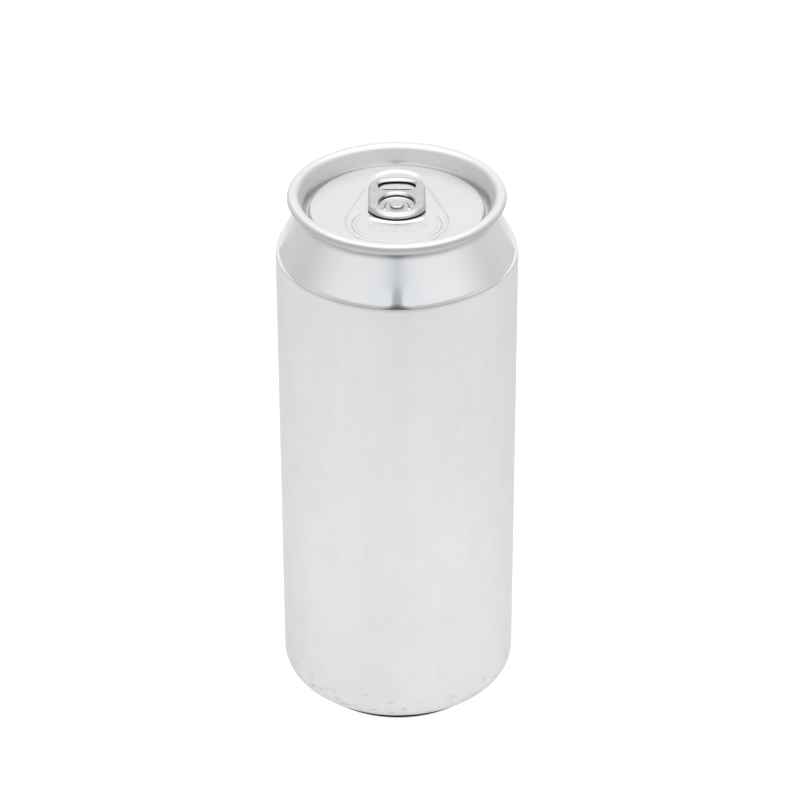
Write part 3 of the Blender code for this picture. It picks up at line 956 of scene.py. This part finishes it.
# ---------------------------------------------------------------------------
# Floor, light and camera
# ---------------------------------------------------------------------------
def make_floor():
    """Pale floor that shines a little, with a painted contact shadow under the can."""
    shape = bmesh.new()
    bmesh.ops.create_grid(shape, x_segments=1, y_segments=1, size=FLOOR_HALF)
    material = bpy.data.materials.new("pale_floor")
    material.use_nodes = True
    shader = material.node_tree.nodes["Principled BSDF"]
    # Painted contact shadow: the floor's colour and glow fall to black under the can's foot
    lit = texture_place(material.node_tree, "Object").from_axis().ramp(*CONTACT_SHADOW)
    feed(shader, "Base Color", tinted(lit, grey(0.02), grey(0.22)))
    feed(shader, "Emission Color", tinted(lit, grey(0.0), grey(1.0)))
    shader.inputs["Emission Strength"].default_value = 0.9
    shader.inputs["Roughness"].default_value = 0.9
    shader.inputs["Specular IOR Level"].default_value = 0.1
    floor = finish_piece("floor", shape, material)


def studio(way):
    """Strength and tint of the studio's light from each direction."""
    up = way.part("Z")
    reach = way.from_axis()
    side = way.part("X") / reach
    front = 0.0 - way.part("Y") / reach
    off_centre = abs(side)
    in_front = front.ramp(0.0, 0.3)

    # Bright overhead, a pale backdrop, and dimmer below, along the front horizon and at the sides
    overhead = up.ramp(0.65, 0.87) * 0.85
    backdrop = front.ramp(-0.6, -0.2, 1.1, 1.0)
    below = up.ramp(-0.34, -0.22, 0.3, 1.0)
    horizon = 1.0 - front.ramp(0.0, 0.75) * up.ramp(0.02, 0.24, 1.0, 0.0) * 0.36
    panels = 1.0 - front.ramp(-0.97, -0.75) * front.ramp(-0.2, 0.6, 1.0, 0.0) * 0.27

    # Narrow dark card in front, with a wider foot
    foot = (off_centre + up * 0.4).ramp(0.04, 0.26, 1.0, 0.0) * up.ramp(0.25, 0.42, 1.0, 0.0)
    stripe = off_centre.ramp(0.04, 0.12, 1.0, 0.0) * up.ramp(0.35, 0.85, 1.0, 0.12)
    card = (foot * 0.73 + stripe * 0.5 * (1.0 - foot)) * in_front

    strength = panels * horizon * below * backdrop * (1.0 - card) * (1.0 + side * 0.03) + overhead
    cool = off_centre.ramp(0.3, 0.55, 1.0, 0.0) * in_front * up.ramp(0.15, 0.4)
    return strength, tinted(cool, grey(1.0), (0.93, 0.96, 1.0))


def make_light():
    """Soft studio that the metal mirrors, while the camera itself sees plain white behind it."""
    world = bpy.data.worlds.new("studio")
    world.use_nodes = True
    bpy.context.scene.world = world
    tree = world.node_tree
    background = tree.nodes["Background"]
    strength, tint = studio(texture_place(tree, "Generated"))
    seen = Value(tree, tree.nodes.new("ShaderNodeLightPath").outputs["Is Camera Ray"])
    feed(background, "Color", tint)
    feed(background, "Strength", strength * (1.0 - seen) + seen)


def make_camera():
    data = bpy.data.cameras.new("camera")
    data.sensor_width = CAMERA_SENSOR
    data.lens = CAMERA_LENS
    data.clip_start = 0.01
    camera = bpy.data.objects.new("camera", data)
    bpy.context.scene.collection.objects.link(camera)
    tilt = Matrix.Rotation(math.radians(90.0 - CAMERA_DOWN), 4, "X")
    roll = Matrix.Rotation(math.radians(CAMERA_ROLL), 4, "Z")
    camera.matrix_world = Matrix.Translation(CAMERA_PLACE) @ tilt @ roll
    bpy.context.scene.camera = camera


def main():
    lid_finish = lid_metal()
    tab_finish = tab_metal()
    make_body(body_metal())
    make_lid(lid_finish)
    rivet_finish = rivet_metal()
    make_rivet(rivet_finish)
    make_pad(rivet_finish)
    make_tab(tab_finish)
    make_island(tab_finish)
    make_floor()
    make_light()
    make_camera()
    bpy.context.scene.view_settings.view_transform = "Standard"


main()
